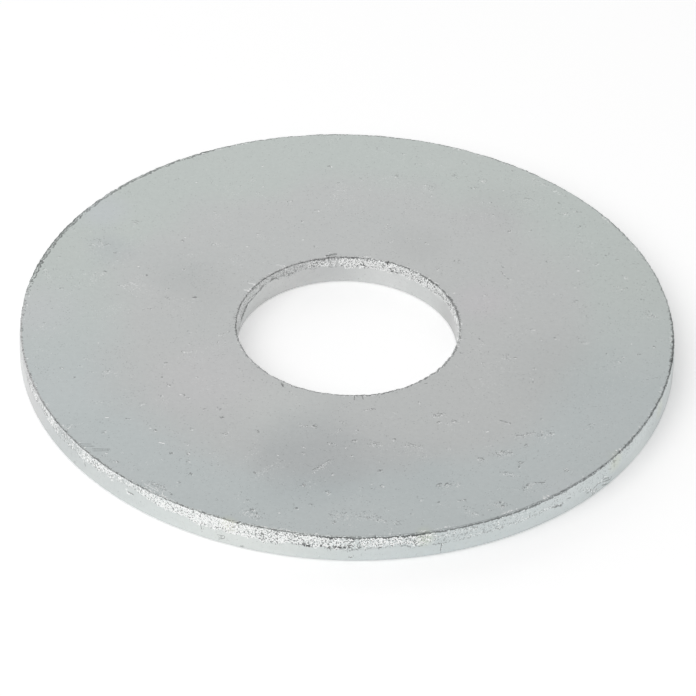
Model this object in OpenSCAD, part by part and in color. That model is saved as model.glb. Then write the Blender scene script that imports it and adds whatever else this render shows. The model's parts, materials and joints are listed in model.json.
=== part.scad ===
/* [Washer] */
// Outside diameter, over the smooth land of the rim
outer_d = 25; // [20:0.5:30]
// Bore diameter, across its smooth land
bore_d = 8.4; // [4.4:0.1:10.4]
// Thickness of the sheet that the washer is cut from
sheet_t = 1.2; // [1:0.1:2]

/* [Rim edge] */
// How far the roll at the foot of the rim reaches in under the washer
rim_roll_w = 0.22; // [0.1:0.02:0.4]
// Height of the roll at the foot of the rim
rim_roll_h = 0.13; // [0.06:0.01:0.2]
// Mean height of the torn band at the top of the rim
rim_tear_h = 0.5; // [0.3:0.02:0.7]
// Lean of the rim's torn band from upright, in degrees
rim_tear_lean = 4; // [3:0.2:8]

/* [Bore edge] */
// How far the roll at the foot of the bore reaches out under the washer
bore_roll_w = 0.2; // [0.1:0.02:0.4]
// Height of the roll at the foot of the bore
bore_roll_h = 0.12; // [0.06:0.01:0.2]
// Mean height of the torn band at the top of the bore
bore_tear_h = 0.36; // [0.2:0.02:0.6]
// Lean of the bore's torn band from upright, in degrees
bore_tear_lean = 10; // [4:0.5:16]

/* [Upper corners] */
// Radius of the blunt corner at the top of the rim and of the bore
corner_r = 0.05; // [0.02:0.01:0.1]

/* [Tool offset] */
// How far the upper tool stood off the lower one, which makes one side's torn band deeper
tool_off = 0.007; // [0:0.001:0.012]
// Direction of that offset, in degrees from the X axis
tool_dir = 105; // [0:5:360]

/* [Knocks] */
// Width of a nick for each millimetre of its depth
nick_open = 2.4; // [1.6:0.2:4]
// Depth of the knocks on the rim's wall
wall_nick_d = 0.03; // [0.02:0.005:0.05]
// Depth of the chips out of the upper corners
chip_d = 0.05; // [0.03:0.005:0.08]

/* [Hidden] */
$fn = 180;
zinc = [0.74, 0.75, 0.745];
rim = outer_d / 2;
bore = bore_d / 2;

// Nicks on the rim's wall: place round the rim in degrees, height over the lower face,
// slope from level in degrees, and length
wall_nicks = [
  [-128.5, 0.68, -8, 0.32],
  [-139.6, 0.54, -75, 0.2],
  [-106.8, 0.16, -10, 0.24],
  [-51, 0.55, -12, 0.46],
  [-42, 0.37, 45, 0.46],
  [-38.5, 0.38, -22, 0.56],
  [-38.8, 0.22, -20, 0.4]
];
// Chips across the rim's upper corner: place round the rim in degrees, and length
rim_chips = [
  [-107.3, 0.26],
  [-35, 0.22],
  [-2, 0.24],
  [119.5, 0.24],
  [138, 0.3],
  [151, 0.26],
  [178, 0.34]
];
// Chips across the bore's upper corner, in the same way
bore_chips = [[68.5, 0.36], [22.5, 0.2], [-117.5, 0.22]];

// What the roll takes off the foot of an edge at radius x; side is 1 at the rim and -1 at the bore
module roll_cut(x, side, roll_w, roll_h) {
  // The arc starts level with the lower face and meets the land at roll_h
  arc_r = (roll_w ^ 2 + roll_h ^ 2) / (2 * roll_h);
  difference() {
    translate([min(x, x - side * roll_w), 0]) square([roll_w, roll_h]);
    translate([x - side * roll_w, arc_r]) circle(arc_r);
  }
}

// What the blunt corner takes off the top of an edge, whose torn band ends at radius x
module blunt_cut(x, side, lean) {
  run = corner_r / tan((90 + lean) / 2);
  centre = [x - side * run, sheet_t - corner_r];
  difference() {
    polygon([
      [x, sheet_t],
      [centre.x, sheet_t],
      centre,
      [x + side * run * sin(lean), sheet_t - run * cos(lean)]
    ]);
    translate(centre) circle(corner_r);
  }
}

// The form that the lower tool gives: the lower face, both rolls and both smooth lands.
// It runs on past the upper face.
module lower_form() {
  rotate_extrude() difference() {
    translate([bore, 0]) square([rim - bore, 2 * sheet_t]);
    roll_cut(rim, 1, rim_roll_w, rim_roll_h);
    roll_cut(bore, -1, bore_roll_w, bore_roll_h);
  }
}

// The form that the upper tool gives: the upper face, both leaning torn bands and both blunt corners.
// It runs on past the lower face.
module upper_form() {
  rim_top = rim - rim_tear_h * tan(rim_tear_lean);
  bore_top = bore + bore_tear_h * tan(bore_tear_lean);
  rotate_extrude() difference() {
    polygon([
      [bore_top, sheet_t],
      [rim_top, sheet_t],
      [rim_top + 2 * sheet_t * tan(rim_tear_lean), -sheet_t],
      [bore_top - 2 * sheet_t * tan(bore_tear_lean), -sheet_t]
    ]);
    blunt_cut(rim_top, 1, rim_tear_lean);
    blunt_cut(bore_top, -1, bore_tear_lean);
  }
}

// A V-shaped nick with tapering ends, cut by a sharp-edged wheel that dips to this depth.
// It lies at the origin along Y, on a surface that faces X.
module nick(length, depth) {
  wheel_r = (length ^ 2 / 4 + depth ^ 2) / (2 * depth);
  translate([wheel_r - depth, 0, 0]) for (way = [0, 180])
    rotate([way, 0, 0]) cylinder(h = wheel_r * nick_open / 2, r1 = wheel_r, r2 = 0);
}

// The knocks that the washer has had since it was cut
module knocks() {
  for (n = wall_nicks)
    rotate(n[0]) translate([rim, 0, n[1]]) rotate([n[2], 0, 0]) nick(n[3], wall_nick_d);
  for (c = rim_chips)
    rotate(c[0]) translate([rim - rim_tear_h * tan(rim_tear_lean), 0, sheet_t])
      rotate([0, -45, 0]) rotate([90, 0, 0]) nick(c[1], chip_d);
  for (c = bore_chips)
    rotate(c[0]) translate([bore + bore_tear_h * tan(bore_tear_lean), 0, sheet_t])
      rotate([0, -135, 0]) rotate([90, 0, 0]) nick(c[1], chip_d);
}

module washer() {
  color(zinc) difference() {
    intersection() {
      lower_form();
      rotate(tool_dir) translate([tool_off, 0]) upper_form();
    }
    knocks();
  }
}

washer();
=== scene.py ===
import json
import math

import bpy
import numpy as np
from mathutils import Matrix, Vector
from mathutils.geometry import delaunay_2d_cdt


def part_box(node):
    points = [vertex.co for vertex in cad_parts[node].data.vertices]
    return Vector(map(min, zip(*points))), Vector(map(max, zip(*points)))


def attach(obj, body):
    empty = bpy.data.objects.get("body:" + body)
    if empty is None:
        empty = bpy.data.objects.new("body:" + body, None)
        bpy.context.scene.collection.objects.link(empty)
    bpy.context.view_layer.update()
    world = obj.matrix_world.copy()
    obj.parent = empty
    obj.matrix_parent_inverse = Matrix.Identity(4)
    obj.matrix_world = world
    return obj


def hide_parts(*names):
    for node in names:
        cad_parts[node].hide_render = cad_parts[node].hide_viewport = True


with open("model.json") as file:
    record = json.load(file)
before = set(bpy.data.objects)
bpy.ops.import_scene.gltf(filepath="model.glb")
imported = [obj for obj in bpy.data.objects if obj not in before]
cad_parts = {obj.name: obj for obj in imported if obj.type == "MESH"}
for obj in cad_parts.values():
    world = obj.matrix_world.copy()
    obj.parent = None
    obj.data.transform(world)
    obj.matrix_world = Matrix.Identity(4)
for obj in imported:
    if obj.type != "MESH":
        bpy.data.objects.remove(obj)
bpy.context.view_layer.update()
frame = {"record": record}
mm = 0.001
print("frame loaded")

# The washer's main sizes come from the frame, in millimetres; all mesh work below is in millimetres too
washerLow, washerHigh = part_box("washer")
rimRadius = (washerHigh.x - washerLow.x) / 2 / mm
sheetThickness = (washerHigh.z - washerLow.z) / mm
boreMount = next(mount for mount in frame["record"]["mounts"] if mount["name"] == "bore")
boreRadius = boreMount["dims"]["r_mm"]


# Camera: where the photograph was taken from, in millimetres and degrees
cameraView = {
    "place": (0.04, -146.82, 115.454),
    "elevation": 38.166,
    "roll": 1.778,
    "lens": 252.2,  # on a 36 mm sensor
    "sensor": 36,
}


def placeCamera():
    data = bpy.data.cameras.new("photoCamera")
    data.lens = cameraView["lens"]
    data.sensor_width = cameraView["sensor"]
    data.clip_start = 0.01
    data.clip_end = 10
    camera = bpy.data.objects.new("photoCamera", data)
    bpy.context.scene.collection.objects.link(camera)
    tilt = Matrix.Rotation(math.radians(90 - cameraView["elevation"]), 4, "X")
    roll = Matrix.Rotation(math.radians(cameraView["roll"]), 4, "Z")
    camera.matrix_world = Matrix.Translation(Vector(cameraView["place"]) * mm) @ tilt @ roll
    bpy.context.scene.camera = camera


placeCamera()
print("camera placed")


# Shader maths: a wire stands for a node's output, and plain arithmetic on wires adds Math nodes
class Wire:
    def __init__(self, sheet, socket):
        self.sheet = sheet
        self.socket = socket

    def maths(self, operation, first, second=0.0):
        return self.sheet.add("ShaderNodeMath", {"operation": operation}, {0: first, 1: second})

    def __add__(self, other):
        return self.maths("ADD", self, other)

    def __radd__(self, other):
        return self.maths("ADD", other, self)

    def __sub__(self, other):
        return self.maths("SUBTRACT", self, other)

    def __rsub__(self, other):
        return self.maths("SUBTRACT", other, self)

    def __mul__(self, other):
        return self.maths("MULTIPLY", self, other)

    def __rmul__(self, other):
        return self.maths("MULTIPLY", other, self)


class NodeSheet:
    def __init__(self, tree):
        self.tree = tree
        self.tree.nodes.clear()

    def add(self, kind, settings=None, sockets=None, out=0):
        node = self.tree.nodes.new(kind)
        for name, value in (settings or {}).items():
            if name == "stops":
                self.setStops(node.color_ramp, value)
            else:
                setattr(node, name, value)
        for name, value in (sockets or {}).items():
            if isinstance(value, Wire):
                self.tree.links.new(value.socket, node.inputs[name])
            else:
                node.inputs[name].default_value = value
        return Wire(self, node.outputs[out]) if node.outputs else node

    def setStops(self, ramp, stops):
        while len(ramp.elements) < len(stops):
            ramp.elements.new(0.5)
        for element, (place, colour) in zip(ramp.elements, stops):
            element.position = place
            element.color = (*colour, 1)

    def ease(self, wire, low, high, start=0.0, end=1.0):
        # a smooth step from start at low to end at high
        return self.add("ShaderNodeMapRange", {"interpolation_type": "SMOOTHSTEP"},
                        {"Value": wire, "From Min": low, "From Max": high, "To Min": start, "To Max": end})

    def noise(self, where, scale, detail=2.0, roughness=0.5):
        return self.add("ShaderNodeTexNoise", {"noise_dimensions": "3D"},
                        {"Vector": where, "Scale": scale, "Detail": detail, "Roughness": roughness})

    def blend(self, share, first, second, how="MIX"):
        # colours are mixed here, because a Math node would turn them grey
        return self.add("ShaderNodeMix", {"data_type": "RGBA", "blend_type": how},
                        {0: share, 6: first, 7: second}, out=2)

    def attribute(self, name):
        return self.add("ShaderNodeAttribute", {"attribute_name": name}, out=2)

    def gapTo(self, where, start, end):
        # how far each place is from a straight line between two points
        run = Vector(end) - Vector(start)
        way = tuple(run.normalized())
        offset = self.add("ShaderNodeVectorMath", {"operation": "SUBTRACT"}, {0: where, 1: start})
        along = self.add("ShaderNodeVectorMath", {"operation": "DOT_PRODUCT"}, {0: offset, 1: way}, out=1)
        held = self.add("ShaderNodeClamp", {}, {"Value": along, "Min": 0, "Max": run.length})
        foot = self.add("ShaderNodeVectorMath", {"operation": "SCALE"}, {0: way, "Scale": held})
        return self.add("ShaderNodeVectorMath", {"operation": "DISTANCE"}, {0: offset, 1: foot}, out=1)


# Fine scratches that knocks left on the two edges. Each runs from one place to another: degrees round
# the edge and height, which past the sheet's thickness runs on over the upper face; then the width.
scratches = {
    "rim": {
        "dark": [
            (-39.7, 0.67, -39.8, 0.6, 0.035), (-39.6, 0.5, -39.2, 0.51, 0.05),
            (-39.2, 0.51, -38.1, 0.4, 0.035), (-38.1, 0.41, -38.1, 0.34, 0.035),
            (-37.3, 0.34, -37.6, 0.26, 0.04), (-37.6, 0.26, -39.1, 0.37, 0.045),
            (-39.9, 0.44, -39.3, 0.37, 0.03), (-37.2, 0.08, -38.3, 0.14, 0.04),
            (-38.3, 0.14, -39.9, 0.28, 0.045), (-40.3, 0.46, -41.2, 0.52, 0.03),
            (-41.2, 0.5, -42.3, 0.41, 0.035), (-42.3, 0.41, -42.5, 0.2, 0.03),
            (-41.6, 0.07, -43.0, 0.07, 0.04), (-43.0, 0.49, -43.0, 0.34, 0.03),
            (-44.0, 0.44, -43.5, 0.38, 0.035), (-141.9, 1.24, -140.6, 1.59, 0.025),
            (-141.0, 1.29, -139.8, 1.61, 0.03), (-138.9, 1.41, -137.2, 1.87, 0.025),
            (-139.4, 1.47, -137.4, 1.96, 0.03), (-37.0, 1.04, -36.2, 0.95, 0.04),
            (-48.5, 0.71, -47.9, 0.68, 0.04), (-51.9, 0.66, -51.0, 0.58, 0.045),
            (-51.2, 0.64, -49.8, 0.51, 0.035), (-73.0, 0.56, -73.1, 0.24, 0.03),
            (-128.9, 0.68, -127.8, 0.69, 0.06), (-88.6, 0.25, -88.2, 0.22, 0.035),
            (-106.9, 0.15, -106.7, 0.13, 0.04), (-114.2, 0.66, -114.0, 0.45, 0.03),
            (-111.1, 0.4, -110.0, 0.44, 0.03), (-110.8, 0.22, -109.9, 0.31, 0.03),
            (-139.8, 0.58, -139.6, 0.5, 0.05),
        ],
        "bright": [
            (-126.3, 1.44, -123.2, 1.4, 0.04), (-124.4, 1.56, -122.9, 1.37, 0.035),
            (-122.6, 1.47, -121.7, 1.24, 0.04), (-39.4, 0.61, -38.6, 0.52, 0.035),
            (-40.2, 0.6, -40.1, 0.47, 0.03), (-39.4, 0.31, -39.2, 0.29, 0.04),
            (-41.0, 0.57, -41.0, 0.5, 0.035), (-42.8, 0.41, -42.6, 0.34, 0.03),
            (-128.8, 0.64, -128, 0.64, 0.03), (-53.3, 1.4, -53.1, 1.22, 0.04),
            (-52.6, 1.36, -52.5, 1.22, 0.035), (-146.6, 1.5, -146.2, 1.3, 0.05),
        ],
    },
    "bore": {
        "dark": [
            (102.0, 1.33, 99.9, 1.33, 0.08), (99.9, 1.36, 97.0, 1.39, 0.11),
            (-81.6, 1.5, -81.9, 1.22, 0.035), (-85.8, 1.52, -85.5, 1.22, 0.035),
            (-81.6, 1.24, -85.6, 1.24, 0.04), (-120.8, 1.5, -122.4, 1.42, 0.05),
            (-121.4, 1.42, -123.2, 1.36, 0.045), (166.8, 0.42, 164.4, 0.56, 0.05),
            (164.4, 0.56, 159.6, 0.66, 0.035), (159.6, 0.66, 156.4, 0.76, 0.045),
            (156.4, 0.76, 150.4, 0.75, 0.04), (150.4, 0.75, 145.1, 0.84, 0.04),
            (145.1, 0.84, 141.9, 0.86, 0.035), (141.9, 0.86, 139.9, 0.82, 0.03),
            (139.9, 0.82, 138.7, 0.91, 0.035), (138.7, 0.91, 133.9, 0.96, 0.035),
            (132.3, 0.92, 131.4, 0.98, 0.05), (131.4, 0.98, 128.3, 0.92, 0.045),
            (128.3, 0.92, 126.3, 0.8, 0.03), (123.7, 0.82, 123.5, 0.89, 0.05),
            (68.2, 0.95, 66.4, 0.84, 0.04), (69.9, 1.25, 67.9, 1.17, 0.05), (82.8, 0.93, 81.4, 0.83, 0.04),
            (70.6, 1.22, 69.6, 1.08, 0.05), (-48.4, 1.53, -49.6, 1.5, 0.04),
        ],
        "bright": [
            (153.9, 1.39, 153.2, 1.24, 0.06), (148.0, 1.48, 147.4, 1.28, 0.05),
            (126.9, 1.22, 126.4, 1.14, 0.06), (128.1, 1.52, 127.0, 1.46, 0.04),
            (126.8, 1.4, 126.2, 1.32, 0.045), (141.1, 1.13, 138.8, 1.22, 0.045),
            (135.5, 1.29, 134.1, 1.24, 0.035), (154.3, 1.22, 153.5, 1.18, 0.05),
            (118.3, 1.26, 118.3, 1.1, 0.035), (110.3, 1.24, 110.3, 1.12, 0.035),
            (88.6, 0.72, 86.8, 0.86, 0.04), (86.8, 0.86, 84.6, 0.93, 0.035),
            (138.4, 0.85, 131.4, 0.9, 0.025), (28.2, 1.56, 28.0, 1.5, 0.05), (28.8, 1.26, 27.9, 1.2, 0.05),
            (102.8, 1.27, 102.3, 1.36, 0.04),
        ],
    },
}


def onEdge(name, degrees, level):
    # the place of a point on an edge's wall, whose torn band leans, or on the upper face just past it
    radius, inward, lean = (rimRadius, -1, 0.03) if name == "rim" else (boreRadius, 1, 0.07)
    share = min(max(level / sheetThickness - 0.6, 0) / 0.4, 1)
    distance = radius + inward * (lean * share + max(0, level - sheetThickness))
    turn = math.radians(degrees)
    return (distance * math.cos(turn), distance * math.sin(turn), min(level, sheetThickness))


# Zinc plate: one metal all over, cloudy on the faces, flaky and speckled in the torn bands, with painted
# glitter there, and painted shade in the nicks, dents and corners beside painted highlights
zincFinish = {
    "colour": (0.63, 0.645, 0.64, 1),
    "cloudTints": [(0.3, (0.975, 0.98, 0.98)), (0.7, (1.025, 1.02, 1.02))],
    # the plate has a bluer cast towards the front of the rim, and a greener one towards its back
    "castFade": (8, 10.6),  # from the middle of the bore
    "frontCast": (0.98, 1.025, 1.035, 1),
    "backCast": (0.985, 1.03, 1.005, 1),
    "frontToBack": (-5, 4),  # along Y, from all of the one to all of the other
    # middle in millimetres, reach and tint of each single patch, lighter, darker or tinted
    "patches": [
        ((-0.7, -8.2, 1.2), 3.8, (0.88, 0.89, 0.9)),
        ((-5.2, -3.6, 1.2), 3.2, (1.04, 1.02, 1.03)),
        ((5.1, 1.6, 1.2), 1.8, (1.03, 1.0, 1.02)),
        ((8.4, -2.6, 1.2), 4, (0.96, 0.965, 0.965)),
        ((-6.3, 3.0, 1.2), 2.2, (0.96, 0.97, 0.97)),
        ((-4.1, -11.9, 1.0), 0.5, (1.02, 1.0, 0.9)),
        ((3.0, -12.1, 0.95), 0.5, (1.0, 1.0, 0.9)),
        ((10.1, -7.4, 0.9), 0.6, (1.02, 1.01, 0.93)),
        ((11.8, -4.1, 0.8), 0.5, (1.02, 1.01, 0.94)),
        ((2.8, -8.6, 1.2), 2.6, (0.95, 0.96, 0.965)),
        ((-5.8, 2.0, 1.2), 2.4, (0.965, 0.965, 0.965)),
        ((2.6, 5.2, 1.2), 1.8, (0.965, 0.965, 0.965)),
        ((5.6, 7.9, 1.2), 2.6, (0.975, 0.965, 0.97)),
        ((-12.2, 0.4, 1.2), 2.6, (1.035, 1.01, 1.03)),
        ((-9.7, 6.7, 1.2), 1.6, (1.02, 1.01, 1.05)),
        ((-9.4, 4.5, 1.2), 1.5, (0.95, 0.945, 0.97)),
        ((-2.4, -5.2, 1.2), 2.4, (1.04, 1.04, 1.035)),
        ((-10.6, -4.8, 1.2), 2, (1.025, 1.02, 1.02)),
        ((8.0, -9.3, 1.2), 1.4, (1.03, 1.02, 1.025)),
    ],
    # the same for the walls of the rim and the bore alone, as painted reflections, lighter and darker
    "wallPatches": [
        ((-12.1, -3.2, 0.4), 6.5, (1.0, 0.95, 0.95)),
        ((-10.8, -6.3, 0.4), 3.5, (0.93, 0.93, 0.93)),
        ((-9.0, -8.7, 0.4), 3.6, (1.005, 0.985, 0.975)),
        ((-3.8, -11.9, 0.4), 6, (1.13, 1.1, 1.075)),
        ((11.0, -5.9, -0.4), 1.8, (1.11, 1.1, 1.09)),
        ((4.0, 1.3, 0.4), 2.1, (0.81, 0.8, 0.8)),
        ((1.4, 3.96, 0.4), 1.6, (1.05, 1.045, 1.045)),
        ((4.2, 0.2, 1.0), 0.8, (0.93, 0.93, 0.93)),
        ((-0.9, 4.1, 1.15), 2.2, (0.89, 0.885, 0.89)),
        ((12.4, -1.5, 0.4), 1.4, (0.86, 0.86, 0.865)),
        ((-11.8, -4.2, 0.4), 1.8, (0.965, 0.955, 0.955)),
        ((-2.6, 3.3, 0.4), 2.4, (0.94, 0.93, 0.93)),
    ],
    # a row of painted highlights in the bore's torn band: degrees and tint of each, and what all share
    "gleams": [(22, 1.5), (34, 1.5), (46, 1.5), (58, 1.45), (70, 1.4), (82, 1.4)],
    "gleamInset": 0.05,
    "gleamHeight": 1.35,
    "gleamReach": 0.7,
    # how fine each kind of spot is, for each millimetre
    "cloudScale": 0.3,
    "grainScale": 6,
    "patchScale": 8,
    "flakeScale": 22,
    "speckScale": 18,
    "dustScale": 1.3,
    # where on its noise each kind of spot begins, and where it is full
    "dustFade": (0.4, 0.75),
    "patchFade": (0.42, 0.58),
    "flakeFade": (0.44, 0.5),
    "spotFade": (0.55, 0.7),
    "scratchFade": (0.38, 0.54, 0.45, 1),  # and a scratch's least and greatest share there
    # how strong the grain, the dust and the scratches are
    "grainTone": 0.14,
    "dust": 0.14,
    "scratchStrength": 0.82,
    "flakeColour": (0.97, 0.975, 0.97, 1),
    "grimeColour": (0.1, 0.105, 0.105, 1),
    "roughness": 0.3,
    "tornRoughness": 0.42,
    "bumpStrength": 0.35,
    "bumpDepth": 0.002,
}


def scratchMask(sheet, where, specks, tone):
    # the scratches of one tone on both edges, each a line that the specks break up
    lines = 0
    for name in scratches:
        for fromDegrees, fromLevel, toDegrees, toLevel, width in scratches[name][tone]:
            gap = sheet.gapTo(where, onEdge(name, fromDegrees, fromLevel), onEdge(name, toDegrees, toLevel))
            line = sheet.ease(gap + (specks - 0.5) * width, 0.65 * width, 0.35 * width)
            lines = sheet.add("ShaderNodeMath", {"operation": "MAXIMUM"}, {0: lines, 1: line})
    return lines * (sheet.ease(specks, *zincFinish["scratchFade"]) * zincFinish["scratchStrength"])


def gleamPatches():
    # the row of painted highlights as patches round the bore
    patches = []
    for degrees, tint in zincFinish["gleams"]:
        turn = math.radians(degrees)
        distance = boreRadius + zincFinish["gleamInset"]
        middle = (distance * math.cos(turn), distance * math.sin(turn), zincFinish["gleamHeight"])
        patches.append((middle, zincFinish["gleamReach"], (tint, tint, tint)))
    return patches


def makeZinc():
    material = bpy.data.materials.new("zincPlate")
    material.use_nodes = True
    sheet = NodeSheet(material.node_tree)
    finish = zincFinish
    where = sheet.add("ShaderNodeTexCoord", out=3)
    inMm = sheet.add("ShaderNodeVectorMath", {"operation": "SCALE"}, {0: where, "Scale": 1 / mm})
    # masks of the torn band, of grime and painted shade, and of bright marks and painted highlights
    torn = sheet.attribute("torn")
    grime = sheet.attribute("grime")
    shine = sheet.attribute("shine")

    clouds = sheet.noise(inMm, finish["cloudScale"], 3)
    tint = sheet.add("ShaderNodeValToRGB", {"stops": finish["cloudTints"]}, {"Fac": clouds})
    plain = sheet.blend(1.0, finish["colour"], tint, "MULTIPLY")
    flattened = sheet.add("ShaderNodeVectorMath", {"operation": "MULTIPLY"}, {0: inMm, 1: (1, 1, 0)})
    reach = sheet.add("ShaderNodeVectorMath", {"operation": "LENGTH"}, {0: flattened}, out=1)
    away = sheet.add("ShaderNodeSeparateXYZ", {}, {"Vector": inMm}, out=1)
    cast = sheet.blend(sheet.ease(away, *finish["frontToBack"]), finish["frontCast"], finish["backCast"])
    outward = sheet.ease(reach + (clouds - 0.5) * 4, *finish["castFade"])
    plain = sheet.blend(outward, plain, cast, "MULTIPLY")
    for middle, size, patchTint in finish["patches"]:
        gap = sheet.add("ShaderNodeVectorMath", {"operation": "DISTANCE"}, {0: inMm, 1: middle}, out=1)
        share = sheet.ease(gap + (clouds - 0.5) * 0.8 * size, size, 0.15 * size)
        plain = sheet.blend(share, plain, (*patchTint, 1), "MULTIPLY")

    # the walls alone are what lies past the rim's corner, or inside the bore's
    onWall = sheet.ease(reach, rimRadius - 0.12, rimRadius - 0.08)
    onWall = onWall + sheet.ease(reach, boreRadius + 0.14, boreRadius + 0.1)
    # painted reflections, lighter and darker, and the bore's painted highlights go on the walls alone
    for middle, size, patchTint in finish["wallPatches"] + gleamPatches():
        gap = sheet.add("ShaderNodeVectorMath", {"operation": "DISTANCE"}, {0: inMm, 1: middle}, out=1)
        plain = sheet.blend(sheet.ease(gap, size, 0.1 * size) * onWall, plain, (*patchTint, 1), "MULTIPLY")
    skinGrain = sheet.noise(inMm, finish["grainScale"], 4, 0.6)
    plain = sheet.blend(1.0, plain, 1 + (skinGrain - 0.5) * finish["grainTone"], "MULTIPLY")

    # a little dust lies all over, in drifts
    dust = sheet.ease(sheet.noise(inMm, finish["dustScale"], 2), *finish["dustFade"]) * finish["dust"]
    grime = grime + dust
    shine = shine + 0.45 * dust
    # white flecks in the torn band paint the glitter of its facets; bright spots follow the mask of bright
    # marks and painted highlights
    patchy = sheet.noise(inMm, finish["patchScale"], 3, 0.6)
    flaky = sheet.ease(torn + (patchy - 0.5) * 1.2, *finish["patchFade"])
    flakes = sheet.noise(inMm, finish["flakeScale"], 1, 0.5)
    paintedGlitter = sheet.ease(flakes, *finish["flakeFade"]) * flaky
    bright = sheet.ease(shine + (flakes - 0.5) * 2.4, *finish["spotFade"]) * (0.36 + 0.64 * shine)
    specks = sheet.noise(inMm, finish["speckScale"], 0)
    # dark spots follow the mask of grime and painted shade: dust, the band's specks, the corners' dark
    # lines and the dents
    depth = 0.2 + 0.52 * grime + 0.35 * flaky
    dark = sheet.ease(grime + (specks - 0.5) * 2.2, *finish["spotFade"]) * depth
    colour = sheet.blend(paintedGlitter + bright - paintedGlitter * bright, plain, finish["flakeColour"])
    colour = sheet.blend(scratchMask(sheet, inMm, specks, "bright"), colour, finish["flakeColour"])
    colour = sheet.blend(dark, colour, finish["grimeColour"])
    colour = sheet.blend(scratchMask(sheet, inMm, specks, "dark"), colour, finish["grimeColour"])

    rougher = finish["tornRoughness"] - finish["roughness"]
    roughness = finish["roughness"] + flaky * rougher + (clouds - 0.5) * 0.1
    bump = sheet.add("ShaderNodeBump", {}, {
        "Strength": finish["bumpStrength"],
        "Distance": finish["bumpDepth"] * mm,
        "Height": skinGrain + flakes * flaky * 3,
    })
    shader = sheet.add("ShaderNodeBsdfPrincipled", {}, {
        "Base Color": colour,
        "Metallic": 1.0,
        "Roughness": roughness,
        "Normal": bump,
    })
    sheet.add("ShaderNodeOutputMaterial", {}, {"Surface": shader})
    return material


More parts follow.
